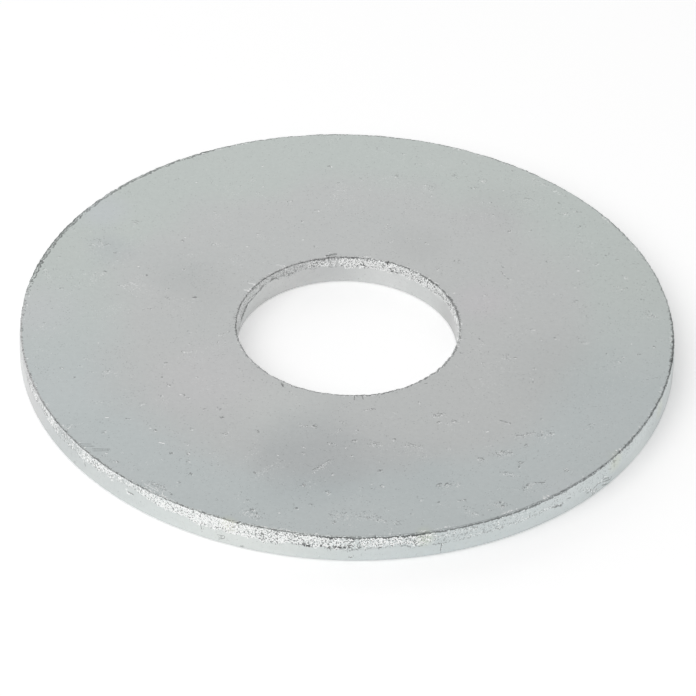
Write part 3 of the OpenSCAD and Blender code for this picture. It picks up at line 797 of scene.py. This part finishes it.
# Marks on the two faces, in millimetres from the middle of the bore: each is a stroke from one point
# to another with its width and depth, and a pit is a stroke of no length
upperMarks = {
    "strokes": [
        (3.47, -9.45, 3.56, -9.45, 0.06, 0.005), (3.81, -9.27, 3.73, -9.41, 0.05, 0.005),
        (4.21, -10.27, 4.44, -10.22, 0.06, 0.004), (4.23, -10.62, 4.59, -10.6, 0.05, 0.002),
        (4.44, -10.77, 4.6, -10.76, 0.05, 0.002), (-7.2, -9.85, -6.75, -10.15, 0.05, 0.005),
        (-7.05, -9.8, -6.62, -10.12, 0.04, 0.005), (-6.9, -9.75, -6.5, -10.05, 0.04, 0.004),
        (-8.35, -8.6, -8.26, -8.65, 0.06, 0.008), (-8.12, -6.1, -7.95, -6.14, 0.05, 0.006),
        (-1.68, -6.26, -1.36, -6.2, 0.06, 0.006), (-1.02, -8.72, -0.55, -8.2, 0.06, 0.0045),
        (0.68, -5.2, 0.95, -5.1, 0.06, 0.005), (1.0, -5.08, 1.13, -5.12, 0.08, 0.01),
        (4.0, -5.72, 4.14, -5.64, 0.07, 0.01), (5.8, -5.55, 6.2, -5.7, 0.08, 0.004),
        (6.45, -6.42, 6.65, -6.36, 0.07, 0.007), (6.7, -6.33, 6.95, -6.22, 0.06, 0.005),
        (7.02, -9.1, 7.4, -9.08, 0.06, 0.006), (3.75, -9.36, 3.88, -9.26, 0.06, 0.006),
        (2.4, -7.08, 2.74, -7.2, 0.07, 0.007), (-10.85, 5.53, -10.7, 5.53, 0.05, 0.006),
        (-10.34, -6.55, -10.22, -6.57, 0.05, 0.005), (-0.72, 4.56, -0.82, 4.56, 0.08, 0.01),
        (-9.2, 4.07, -9.02, 4.04, 0.06, 0.004), (-4.62, -0.63, -4.5, -0.68, 0.06, 0.004),
        (-0.62, 9.12, -0.46, 9.14, 0.06, 0.004), (1.92, 11.2, 2.14, 11.22, 0.06, 0.004),
        (2.5, 10.55, 2.72, 10.56, 0.05, 0.003), (-2.55, 7.76, -2.34, 7.8, 0.06, 0.004),
        (-1.45, 7.22, -1.26, 7.28, 0.06, 0.004), (-4.5, 8.7, -4.3, 8.7, 0.05, 0.003),
        (6.86, 2.46, 7.02, 2.44, 0.06, 0.003), (10.15, 2.9, 10.4, 2.9, 0.05, 0.003),
        (7.3, -0.6, 7.44, -0.6, 0.05, 0.005), (9.88, 0.55, 10.1, 0.56, 0.05, 0.003),
        (5.0, -0.6, 5.12, -0.76, 0.06, 0.005), (5.14, -0.8, 5.25, -0.95, 0.05, 0.004),
        (5.9, 3.62, 5.98, 3.4, 0.05, 0.005), (5.98, 3.4, 6.17, 3.15, 0.05, 0.003),
    ],
    # strokes without a depth, of scattered specks
    "hazes": [
        (-0.3, -11.3, 0.9, -11.2, 0.5), (0.9, -11.3, 2.1, -11.6, 0.36), (4.6, -10.8, 5.1, -11.1, 0.36),
        (-3.4, -11.2, -3.0, -11.5, 0.5), (6.4, -6.4, 7.0, -6.2, 0.3), (7.3, -6.3, 7.7, -6.0, 0.4),
        (6.6, -9.5, 6.8, -9.2, 0.34), (3.9, -5.75, 4.2, -5.6, 0.3), (3.3, -5.3, 3.6, -5.3, 0.36),
        (-1.1, -8.8, -0.5, -8.2, 0.3), (1.0, -7.1, 1.3, -7.2, 0.34), (2.3, -7.1, 2.8, -7.2, 0.3),
        (5.7, -7.5, 6.1, -7.3, 0.34), (5.8, -8.6, 6.2, -8.7, 0.3), (-8.9, -8.4, -8.4, -8.7, 0.4),
        (3.6, -9.4, 4.1, -9.3, 0.3), (-7.1, -9.8, -6.6, -10.1, 0.4), (5.7, -10.3, 6.0, -10.5, 0.34),
        (-9.95, 4.7, -9.75, 4.8, 0.5), (-5.4, 4.9, -5.2, 4.8, 0.3), (-9.1, -3.35, -8.95, -3.25, 0.3),
        (-4.95, -0.9, -4.8, -0.85, 0.24), (-3.95, -2.0, -3.85, -2.0, 0.24),
        (-11.85, 2.85, -11.65, 2.45, 0.3), (3.1, 9.0, 3.2, 8.9, 0.4), (1.4, 6.5, 1.45, 6.3, 0.24),
        (5.1, 9.55, 5.2, 9.55, 0.3), (8.35, 7.5, 8.45, 7.5, 0.3), (6.0, -1.65, 6.08, -1.65, 0.36),
        (11.5, 1.25, 11.6, 1.25, 0.5), (8.0, 9.2, 8.4, 8.8, 0.3), (7.3, 9.75, 7.75, 9.45, 0.24),
        (-8.5, 6.15, -8.4, 6.1, 0.24),
    ],
    # places and widths of the pits that stand out
    "pits": [
        (-3.28, -11.15, 0.08), (-3.25, -11.35, 0.11), (-3.12, -11.5, 0.1), (-3.1, -11.38, 0.08),
        (-6.65, -4.05, 0.08), (-6.06, -4.62, 0.1), (-5.93, -4.8, 0.08), (-4.6, -5.86, 0.08),
        (-7.6, -5.25, 0.09), (-5.25, -5.45, 0.07), (-7.05, -6.75, 0.08), (-5.7, -6.6, 0.09),
        (-5.72, -8.05, 0.09), (-5.75, -8.45, 0.07), (-6.0, -9.66, 0.08), (-6.4, -8.06, 0.07),
        (-7.38, -9.7, 0.08), (-8.9, -8.4, 0.08), (-6.3, -10.35, 0.08), (-5.6, -9.2, 0.09),
        (-1.12, -6.2, 0.1), (-3.22, -6.6, 0.09), (0.5, -6.4, 0.08), (-0.2, -6.35, 0.08), (0.35, -7.0, 0.09),
        (-1.56, -7.42, 0.09), (-1.52, -7.8, 0.1), (-0.55, -7.15, 0.09), (-0.42, -7.22, 0.08),
        (0.33, -7.86, 0.08), (-0.38, -8.95, 0.09), (1.32, -8.7, 0.09), (-3.25, -9.05, 0.09),
        (-1.45, -9.66, 0.09), (1.42, -9.56, 0.09), (-0.55, -9.98, 0.12), (-0.48, -10.1, 0.08),
        (-1.7, -11.0, 0.09), (-0.3, -11.75, 0.08), (0.25, -11.8, 0.08), (1.12, -7.1, 0.1),
        (1.85, -6.85, 0.09), (0.95, -11.4, 0.08), (1.3, -11.5, 0.09), (2.75, -4.6, 0.08),
        (3.35, -5.35, 0.1), (3.58, -5.3, 0.09), (3.48, -5.75, 0.08), (5.02, -7.82, 0.11),
        (5.12, -7.9, 0.08), (5.66, -7.5, 0.09), (5.82, -7.36, 0.08), (6.75, -6.96, 0.08),
        (7.35, -6.06, 0.09), (7.3, -6.3, 0.08), (7.65, -6.2, 0.09), (6.5, -7.95, 0.1), (6.45, -8.2, 0.07),
        (5.92, -8.62, 0.09), (6.15, -8.62, 0.08), (6.68, -9.42, 0.1), (6.75, -9.3, 0.07),
        (3.55, -9.36, 0.08), (4.25, -10.25, 0.08), (4.45, -10.2, 0.08), (3.5, -10.4, 0.07),
        (5.72, -10.3, 0.08), (5.84, -10.46, 0.08), (4.85, -10.92, 0.08), (-9.62, 4.48, 0.05),
        (-11.3, 3.7, 0.06), (-9.03, 3.62, 0.05), (-9.45, 2.87, 0.05), (-7.85, 2.66, 0.05),
        (-8.87, 1.98, 0.06), (-7.0, 1.87, 0.05), (-7.0, 1.31, 0.05), (-5.93, 1.37, 0.07),
        (-8.83, 0.9, 0.05), (-7.66, 0.58, 0.05), (-7.55, 0.58, 0.05), (-6.57, 4.98, 0.06),
        (-6.5, 4.1, 0.05), (-5.38, 6.98, 0.05), (-6.4, 3.15, 0.05), (-4.7, 3.95, 0.04),
        (-11.55, -0.45, 0.05), (-11.85, -1.95, 0.05), (-10.73, -3.2, 0.06), (-10.22, -3.75, 0.06),
        (-9.03, -3.3, 0.06), (-6.2, -1.98, 0.06), (-5.97, -1.5, 0.04), (-4.92, -1.35, 0.05),
        (-6.92, -3.55, 0.06), (-6.7, -4.1, 0.05), (-5.65, -3.5, 0.06), (-0.95, 10.2, 0.08),
        (-1.93, 6.5, 0.07), (-1.88, 5.3, 0.05), (1.66, 5.4, 0.06), (1.5, 5.3, 0.05), (2.93, 5.3, 0.08),
        (2.8, 5.65, 0.05), (1.4, 4.62, 0.07), (-1.4, 4.9, 0.05), (-3.65, 5.6, 0.05), (-4.02, 9.2, 0.05),
        (6.17, 6.23, 0.07), (8.97, 6.72, 0.06), (10.37, 4.63, 0.06), (6.17, 3.12, 0.05), (7.05, 6.35, 0.04),
        (7.6, 4.35, 0.04), (7.86, 2.3, 0.06), (7.87, -0.45, 0.06), (6.0, -1.8, 0.06), (6.35, -1.75, 0.06),
        (7.05, -2.35, 0.07), (9.85, -1.3, 0.05), (10.47, -1.53, 0.06), (11.05, -1.3, 0.05),
        (11.67, -0.8, 0.08), (5.55, 7.35, 0.04), (5.45, 8.1, 0.04), (6.3, 10.3, 0.05),
    ],
    # places and widths of the small bright spots, each a painted glint on a shallow dent
    "spots": [
        (-8.9, -6.06, 0.07), (-8.82, -6.05, 0.06), (-6.86, -7.42, 0.06), (-6.78, -7.43, 0.07),
        (-6.7, -7.46, 0.07), (-5.76, -8.0, 0.08), (-6.34, -8.05, 0.06), (-7.2, -6.6, 0.08),
        (-6.17, -4.57, 0.06), (0.06, -7.4, 0.09), (5.66, -10.23, 0.08), (5.3, -6.2, 0.08),
        (4.6, -5.66, 0.06), (-2.3, -11.26, 0.08), (-8.74, -8.16, 0.07), (-2.42, -7.95, 0.07),
        (-8.18, 3.28, 0.09), (-8.78, 2.0, 0.05), (-6.45, 5.2, 0.07), (-6.15, 8.85, 0.08),
        (-9.42, -1.6, 0.06), (-3.6, 10.1, 0.07), (-0.83, 10.17, 0.06), (-1.3, 7.2, 0.06),
        (-4.0, 4.75, 0.08), (3.7, 11.65, 0.07), (5.15, 9.55, 0.08), (8.4, 7.52, 0.07), (6.26, 6.24, 0.05),
        (8.87, 3.87, 0.09), (5.96, 3.46, 0.07), (6.2, 0.75, 0.06), (7.94, -0.48, 0.05), (10.8, -0.65, 0.06),
        (11.95, 2.8, 0.06), (6.0, 8.95, 0.06), (3.0, 5.26, 0.06), (7.12, -2.38, 0.06),
    ],
    "scatter": 130,
    "seed": 23,
}
lowerMarks = {
    "strokes": [(3.1, 6.4, 5.2, 7.1, 0.06, 0.006), (-8.2, 1.4, -7.1, 2.9, 0.05, 0.005)],
    "hazes": [],
    "pits": [],
    "spots": [],
    "scatter": 60,
    "seed": 31,
}
faceLook = {
    # how much painted shade and painted highlight the strokes and hazes get, and how strong the painted
    # highlight of a pit and of a spot is
    "strokeTones": (0.52, 0.5),
    "hazeTones": (0.24, 0.36),
    "pitGleam": 0.52,
    "spotGleam": 0.85,
    "lip": 0.2,  # height of the lip round a mark, as a share of its depth
    "leastDepth": 0.004,  # of a mark that has a lip
    # how far marks, and the points that shape them, stay away from the edges' last rows
    "room": 0.35,
    "slack": 0.08,
}


def gatherMarks(marks):
    # every mark as a stroke: start, end, width, depth, how much painted shade and how much painted
    # highlight.
    # The scattered ones lie more to the front and to the right.
    rng = np.random.default_rng(marks["seed"])
    strokes = [(*stroke, *faceLook["strokeTones"]) for stroke in marks["strokes"]]
    strokes += [(*haze, 0, *faceLook["hazeTones"]) for haze in marks["hazes"]]
    for x, y, width in marks["pits"]:
        end = (x + rng.uniform(0, 0.08), y + rng.normal(0, 0.03))
        depth = width * rng.uniform(0.03, 0.1)
        strokes.append((x, y, *end, 1.6 * width, depth, rng.uniform(0.4, 0.62), faceLook["pitGleam"]))
    for x, y, width in marks["spots"]:
        end = (x + rng.uniform(0, 0.05), y)
        strokes.append((x, y, *end, width, 0.08 * width, 0, faceLook["spotGleam"]))
    inside, outside = boreRadius + faceLook["room"], rimRadius - faceLook["room"]
    enough = len(strokes) + marks["scatter"]
    while len(strokes) < enough:
        x, y = rng.uniform(-rimRadius, rimRadius, 2)
        if not inside < math.hypot(x, y) < outside:
            continue
        weight = 0.12 + 0.5 * max(0, -y / rimRadius) ** 1.5 + 0.3 * max(0, x / rimRadius)
        if rng.random() > weight:
            continue
        width = rng.uniform(0.08, 0.2)
        length = rng.choice([0, 0.03, 0.08, 0.16])
        slope = rng.normal(0, 0.6)
        end = (x + length * math.cos(slope), y + length * math.sin(slope))
        depth = width * rng.uniform(0.005, 0.03)
        strokes.append((x, y, *end, width, depth, rng.uniform(0.2, 0.38), rng.uniform(0.22, 0.46)))
    # close to the edges a mark keeps only its painted shade and highlight, because the skin has no room for
    # its shape there
    fits = [inside < math.hypot(x, y) - 1.2 * width and math.hypot(x, y) + 1.2 * width < outside
            for x, y, _, _, width, *_ in strokes]
    return [(*stroke[:5], stroke[5] * fit, *stroke[6:]) for stroke, fit in zip(strokes, fits)]


def strokeDents(points, strokes):
    # how far each point lies below the face, less than nothing on a lip, its painted shade and its painted
    # highlight
    rng = np.random.default_rng(len(points))
    rough = rng.uniform(0.2, 1, len(points))
    dent = np.zeros(len(points))
    dark = np.zeros(len(points))
    light = np.zeros(len(points))
    for x0, y0, x1, y1, width, depth, darkness, brightness in strokes:
        start = np.array([x0, y0])
        run = np.array([x1 - x0, y1 - y0])
        square = max(run @ run, 1e-12)
        near = np.abs(points - start - run / 2).max(1) < math.sqrt(square) / 2 + 2 * width

        def gapTo(offset):
            shifted = points[near] - start - offset
            share = np.clip(shifted @ run / square, 0, 1)
            return np.linalg.norm(shifted - share[:, None] * run, axis=1) / (width / 2)

        gap = gapTo(0)
        fall = np.clip(1.1 - gap, 0, 1) * depth * rough[near]
        hasLip = depth > faceLook["leastDepth"]
        lip = np.clip(1 - np.abs(gap - 1.3) / 0.35, 0, 1) * depth * faceLook["lip"] * hasLip
        dent[near] = np.maximum(dent[near], fall) - lip
        dark[near] = np.maximum(dark[near], np.clip(1.5 - gap, 0, 1) * darkness)
        # the painted highlight sits beside the mark, on a side towards the front
        turn = rng.uniform(-2.6, -0.2)
        offset = 0.35 * width * np.array([math.cos(turn), math.sin(turn)])
        light[near] = np.maximum(light[near], np.clip(1.5 - gapTo(offset), 0, 1) * brightness)
    return dent, dark, light


def strokePoints(strokes):
    # rings and rows of points that follow each mark closely enough to shape it
    found = []
    for x0, y0, x1, y1, width, depth, *_ in strokes:
        length = math.hypot(x1 - x0, y1 - y0)
        slope = math.atan2(y1 - y0, x1 - x0)
        steps = max(1, round(length / max(0.06, width / 3)))
        reaches = (0.55, 1, 1.3, 1.65, 2.1) if depth > faceLook["leastDepth"] else (0.55, 1.1, 1.6)
        offsets = [width / 2 * reach for reach in reaches]
        for k in range(steps + 1 if length else 1):
            x = x0 + (x1 - x0) * k / steps
            y = y0 + (y1 - y0) * k / steps
            found.append((x, y))
            if length:
                for offset in offsets:
                    for aside in (-offset, offset):
                        found.append((x - aside * math.sin(slope), y + aside * math.cos(slope)))
        for offset in offsets:
            for k in range(8):
                turn = slope + math.pi * (k + 2.5) / 4
                x, y = (x0, y0) if k < 4 else (x1, y1)
                found.append((x + offset * math.cos(turn), y + offset * math.sin(turn)))
    return found


def makeFace(outerRing, innerRing, strokes, level, lift):
    # a flat skin between two rings of points; lift is 1 on the upper face and -1 on the lower one
    outer, inner = np.linalg.norm(outerRing[0]), np.linalg.norm(innerRing[0])
    near = [point for point in strokePoints(strokes)
            if inner + faceLook["slack"] < math.hypot(*point) < outer - faceLook["slack"]]
    flat = [tuple(point) for point in outerRing] + [tuple(point) for point in innerRing] + near
    first, second = len(outerRing), len(outerRing) + len(innerRing)
    edges = [(k, (k + 1) % first) for k in range(first)]
    edges += [(first + k, first + (k + 1) % (second - first)) for k in range(second - first)]
    made = delaunay_2d_cdt([Vector(point) for point in flat], edges, [], 0, 1e-5)
    spots, triangles, sources = np.array([tuple(v) for v in made[0]]), made[2], made[3]
    place = {}
    fresh = []
    for k, source in enumerate(sources):
        ringPoint = min(source, default=-1)
        if 0 <= ringPoint < second:
            place[k] = ringPoint
        else:
            place[k] = second + len(fresh)
            fresh.append(k)
    dent, dark, light = strokeDents(spots[fresh], strokes)
    points = np.column_stack([spots[fresh], level - lift * dent])
    faces = []
    for a, b, c in triangles:
        corners = (place[a], place[b], place[c])
        if all(first <= corner < second for corner in corners):
            continue
        cross = np.cross(spots[b] - spots[a], spots[c] - spots[a])
        faces.append(corners if cross * lift > 0 else corners[::-1])
    return {"points": points, "grime": dark, "shine": light, "faces": faces, "ring": second}


def gridFaces(first, rows, columns, side):
    # quads of an edge's wall, wound so that they face out of the metal
    faces = []
    for row in range(rows - 1):
        for column in range(columns):
            nextColumn = (column + 1) % columns
            a = first + row * columns + column
            b = first + row * columns + nextColumn
            quad = (a, b, b + columns, a + columns)
            faces.append(quad if side > 0 else quad[::-1])
    return faces


# Flat sheet, one unit square, that the finish is printed on: both faces side by side below, and above
# them the rim's wall in four strips and the bore's in one
printSheet = {
    "margin": 0.02,
    "gap": 0.01,
    "faceScale": 0.0195,  # for each millimetre
    "faceLevel": 0.255,
    "upperMiddle": 0.25,
    "lowerMiddle": 0.75,
    "stripHeight": 0.08,
    "rimBase": 0.51,
    "rimStrips": 4,
    "boreBase": 0.88,
}


def gridCorners(rows, columns, side, strips, base):
    # where each corner of those quads lies on the flat sheet
    corners = []
    perStrip = columns // strips
    height = printSheet["stripHeight"]
    length = 1 - 2 * printSheet["margin"]
    for row in range(rows - 1):
        for column in range(columns):
            strip = column // perStrip
            left = printSheet["margin"] + length * (column - strip * perStrip) / perStrip
            right = left + length / perStrip
            low = base + strip * (height + printSheet["gap"]) + height * row / (rows - 1)
            high = low + height / (rows - 1)
            quad = ((left, low), (right, low), (right, high), (left, high))
            corners.extend(quad if side > 0 else quad[::-1])
    return corners


def facetedRows(edge):
    # the rows of quads that make up an edge's torn band and its corner
    first = 1 + edgeLook["footRows"] + edge["landRows"]
    return range(first, first + edge["bandRows"] + edgeLook["cornerRows"])


def makeWasher():
    rim = makeEdge(rimEdge, rimRadius, 1)
    bore = makeEdge(boreEdge, boreRadius, -1)
    print("edges shaped")
    rimRows, rimColumns = rim["points"].shape[:2]
    boreRows, boreColumns = bore["points"].shape[:2]
    boreFirst = rimRows * rimColumns
    count = boreFirst + boreRows * boreColumns
    points = [rim["points"].reshape(-1, 3), bore["points"].reshape(-1, 3)]
    masks = {name: [rim[name].ravel(), bore[name].ravel()] for name in ("torn", "grime", "shine")}
    faces = gridFaces(0, rimRows, rimColumns, 1) + gridFaces(boreFirst, boreRows, boreColumns, -1)
    corners = gridCorners(rimRows, rimColumns, 1, printSheet["rimStrips"], printSheet["rimBase"])
    corners += gridCorners(boreRows, boreColumns, -1, 1, printSheet["boreBase"])
    # the torn bands and their corners are faceted, all else is smooth
    smooth = []
    for edge, rows, columns in ((rimEdge, rimRows, rimColumns), (boreEdge, boreRows, boreColumns)):
        for row in range(rows - 1):
            smooth += [row not in facetedRows(edge)] * columns
    for row, marks, level, lift, middle in (
        (-1, upperMarks, sheetThickness, 1, printSheet["upperMiddle"]),
        (0, lowerMarks, 0, -1, printSheet["lowerMiddle"]),
    ):
        rings = rim["points"][row, :, :2], bore["points"][row, :, :2]
        face = makeFace(*rings, gatherMarks(marks), level, lift)
        rimStart = (rimRows - 1) * rimColumns if row else 0
        boreStart = boreFirst + ((boreRows - 1) * boreColumns if row else 0)

        def vertexOf(corner):
            if corner < rimColumns:
                return rimStart + corner
            if corner < face["ring"]:
                return boreStart + corner - rimColumns
            return count + corner - face["ring"]

        skin = [tuple(vertexOf(corner) for corner in triangle) for triangle in face["faces"]]
        faces += skin
        smooth += [True] * len(skin)
        points.append(face["points"])
        masks["grime"].append(face["grime"])
        masks["torn"].append(np.zeros(len(face["points"])))
        masks["shine"].append(face["shine"])
        count += len(face["points"])
        everyPoint = np.concatenate(points)
        for triangle in skin:
            for vertex in triangle:
                x, y = everyPoint[vertex][:2] * printSheet["faceScale"]
                corners.append((middle + x, printSheet["faceLevel"] + y))
    everyPoint = np.concatenate(points)
    mesh = bpy.data.meshes.new("washer_zinc")
    mesh.from_pydata(everyPoint * mm, [], faces)
    mesh.polygons.foreach_set("use_smooth", smooth)
    layer = mesh.uv_layers.new(name="OFBake")
    layer.data.foreach_set("uv", np.array(corners, float).ravel())
    for name, parts in masks.items():
        values = mesh.attributes.new(name, "FLOAT", "POINT")
        values.data.foreach_set("value", np.concatenate(parts).astype(np.float32))
    mesh.validate()
    piece = bpy.data.objects.new("washer_zinc", mesh)
    bpy.context.scene.collection.objects.link(piece)
    triangles = sum(len(face) - 2 for face in faces)
    print("washer made:", len(everyPoint), "points,", triangles, "triangles")
    return piece


zincPlate = makeZinc()
washer = makeWasher()
washer.data.materials.append(zincPlate)
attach(washer, "root")
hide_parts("washer")


# Floor and light: a pale floor, a bright surround behind the washer and two soft lamps
studio = {
    "floorSize": 2.0,
    "floorDrop": 0.00001,
    "floorColour": (0.9, 0.9, 0.9),
    "floorGlow": 0.35,
    # the surround's strength: all round, then what is added low down and at the horizon behind the washer,
    # and how fast that falls off to the right
    "surround": 0.504,
    "lowSky": 0.245,
    "horizonSky": 0.28,
    "rightFall": 1.5,
    # where those begin and end, as heights or distances back on a globe of radius 1
    "lowFade": (0.54, 0.77, 1.0, 0.0),
    "horizonFade": (0.0, 0.35, 1.0, 0.0),
    "backFade": (-0.1, 0.4),
    "lamps": [
        # name, place in millimetres, size, watts
        ("keyLamp", (-107, -119, 191), 240, 0.27),
        ("backLamp", (-20, 190, 110), 160, 0.02),
    ],
}


def makeFloor():
    mesh = bpy.data.meshes.new("floor")
    half = studio["floorSize"] / 2
    corners = [(-half, -half, 0), (half, -half, 0), (half, half, 0), (-half, half, 0)]
    mesh.from_pydata(corners, [], [(0, 1, 2, 3)])
    floor = bpy.data.objects.new("floor", mesh)
    floor.location.z = -studio["floorDrop"]
    bpy.context.scene.collection.objects.link(floor)
    material = bpy.data.materials.new("paleFloor")
    material.use_nodes = True
    sheet = NodeSheet(material.node_tree)
    # rays from the camera, mirrored ones and those let through
    seen, mirrored, through = (sheet.add("ShaderNodeLightPath", out=k) for k in (0, 3, 6))
    seen = seen + mirrored + through
    glow = sheet.add("ShaderNodeMath", {"operation": "MINIMUM"}, {0: seen, 1: 1.0}) * studio["floorGlow"]
    plain = sheet.add("ShaderNodeBsdfDiffuse", {}, {"Color": (*studio["floorColour"], 1)})
    light = sheet.add("ShaderNodeEmission", {}, {"Strength": glow})
    both = sheet.add("ShaderNodeAddShader", {}, {0: plain, 1: light})
    sheet.add("ShaderNodeOutputMaterial", {}, {"Surface": both})
    mesh.materials.append(material)


def makeLight():
    world = bpy.data.worlds.new("surround")
    world.use_nodes = True
    bpy.context.scene.world = world
    sheet = NodeSheet(world.node_tree)
    way = sheet.add("ShaderNodeTexCoord", out=0)
    sideways, back, up = (
        sheet.add("ShaderNodeSeparateXYZ", {}, {"Vector": way}, out=k) for k in range(3)
    )
    low = sheet.ease(up, *studio["lowFade"])
    horizon = sheet.ease(up, *studio["horizonFade"])
    behind = sheet.ease(back, *studio["backFade"])
    sky = (studio["lowSky"] * low + studio["horizonSky"] * horizon) * behind
    strength = studio["surround"] + sky * (1 - studio["rightFall"] * sideways)
    backdrop = sheet.add("ShaderNodeBackground", {}, {"Strength": strength})
    sheet.add("ShaderNodeOutputWorld", {}, {"Surface": backdrop})
    for name, place, size, watts in studio["lamps"]:
        data = bpy.data.lights.new(name, "AREA")
        data.shape = "DISK"
        data.size = size * mm
        data.energy = watts
        lamp = bpy.data.objects.new(name, data)
        lamp.location = Vector(place) * mm
        lamp.rotation_euler = Vector(place).to_track_quat("Z", "Y").to_euler()
        bpy.context.scene.collection.objects.link(lamp)


makeFloor()
makeLight()
bpy.context.scene.view_settings.view_transform = "Standard"
print("floor and light made")
